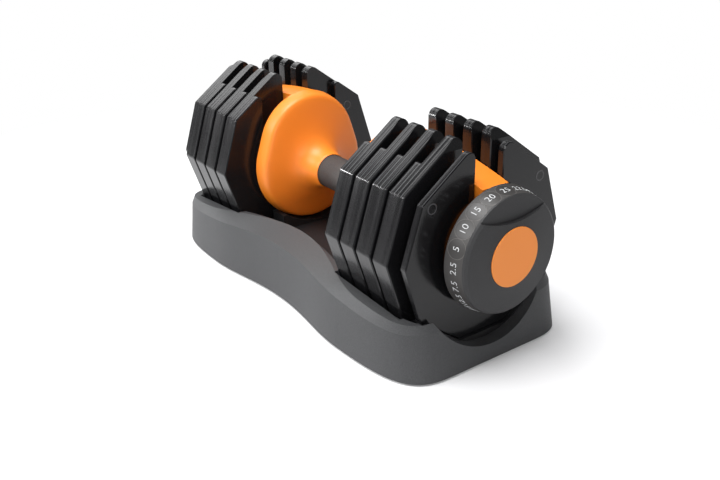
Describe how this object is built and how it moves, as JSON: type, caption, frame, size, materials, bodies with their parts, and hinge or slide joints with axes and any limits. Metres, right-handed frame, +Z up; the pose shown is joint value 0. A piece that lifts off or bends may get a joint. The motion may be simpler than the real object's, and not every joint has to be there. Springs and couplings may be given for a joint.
{
  "type": "adjustable dumbbell",
  "caption": "Adjustable dumbbell docked in its stand: an end dial turns selector discs that pick up ten-sided plates on each side of a grip with flared guard discs.",
  "frame": {"origin": "on the floor under the middle of the grip, the centre of the bounding box's bottom face", "axes": "+X along the dumbbell to the dial, +Z up, +Y to the far long side of the stand"},
  "size_m": [0.4262, 0.1888, 0.1852],
  "materials": {
    "stand_grey": "moulded, fine-grained dark grey",
    "cradle_black": "moulded black",
    "rubber_black": "moulded rubber pads",
    "plate_black": "glossy black coat over iron",
    "selector_steel": "stamped and plated",
    "steel": "zinc plated",
    "ring_grey": "satin dark grey with printed weights",
    "dial_grey": "fine-grained dark grey",
    "orange": "glossy orange",
    "bush_white": "natural acetal",
    "grip_dark": "soft dark sleeve"
  },
  "bodies": {
    "stand": {"stand_shell": "stand_grey", "plate_cradle_right": "cradle_black", "plate_cradle_left": "cradle_black", "center_tray": "cradle_black", "stand_screws": "steel", "stand_feet": "rubber_black"},
    "dumbbell": {"guard_disc_right": "orange", "guard_disc_left": "orange", "spine_right": "orange", "spine_left": "orange", "shaft_bushes": "bush_white", "grip_tube": "steel", "grip_sleeve": "grip_dark", "end_cap": "dial_grey", "guard_screws": "steel", "cap_screws": "steel", "detent_ball": "steel", "detent_spring": "steel", "lock_spring": "steel", "plate_right_1": "plate_black", "plate_right_2": "plate_black", "plate_right_3": "plate_black", "plate_right_4": "plate_black", "plate_left_1": "plate_black", "plate_left_2": "plate_black", "plate_left_3": "plate_black", "plate_left_4": "plate_black", "small_plate_right": "plate_black", "small_plate_left": "plate_black"},
    "selector": {"drive_shaft": "steel", "shaft_nut": "steel", "lock_wheel": "selector_steel", "number_ring": "ring_grey", "dial_knob": "dial_grey", "dial_badge": "orange", "dial_screw": "steel", "selector_right_1": "selector_steel", "selector_right_2": "selector_steel", "selector_right_3": "selector_steel", "selector_right_4": "selector_steel", "selector_right_5": "selector_steel", "selector_left_1": "selector_steel", "selector_left_2": "selector_steel", "selector_left_3": "selector_steel", "selector_left_4": "selector_steel", "selector_left_5": "selector_steel"},
    "lock": {"lock_yoke": "selector_steel"}
  },
  "joints": [
    {"name": "dumbbell_lift", "type": "slide", "parent": "stand", "child": "dumbbell", "axis": [0, 0, 1], "range_m": [0, 0.2]},
    {"name": "dial_turn", "type": "hinge", "parent": "dumbbell", "child": "selector", "pos_m": [0.2, 0, 0.098], "axis": [1, 0, 0], "continuous": true},
    {"name": "lock_release", "type": "slide", "parent": "dumbbell", "child": "lock", "axis": [0, 0, 1], "range_m": [-0.005, 0], "deforming": ["lock_spring"]}
  ],
  "couplings": [
    {"joint": "lock_release", "follows": "dumbbell_lift", "ratio": -0.025}
  ]
}
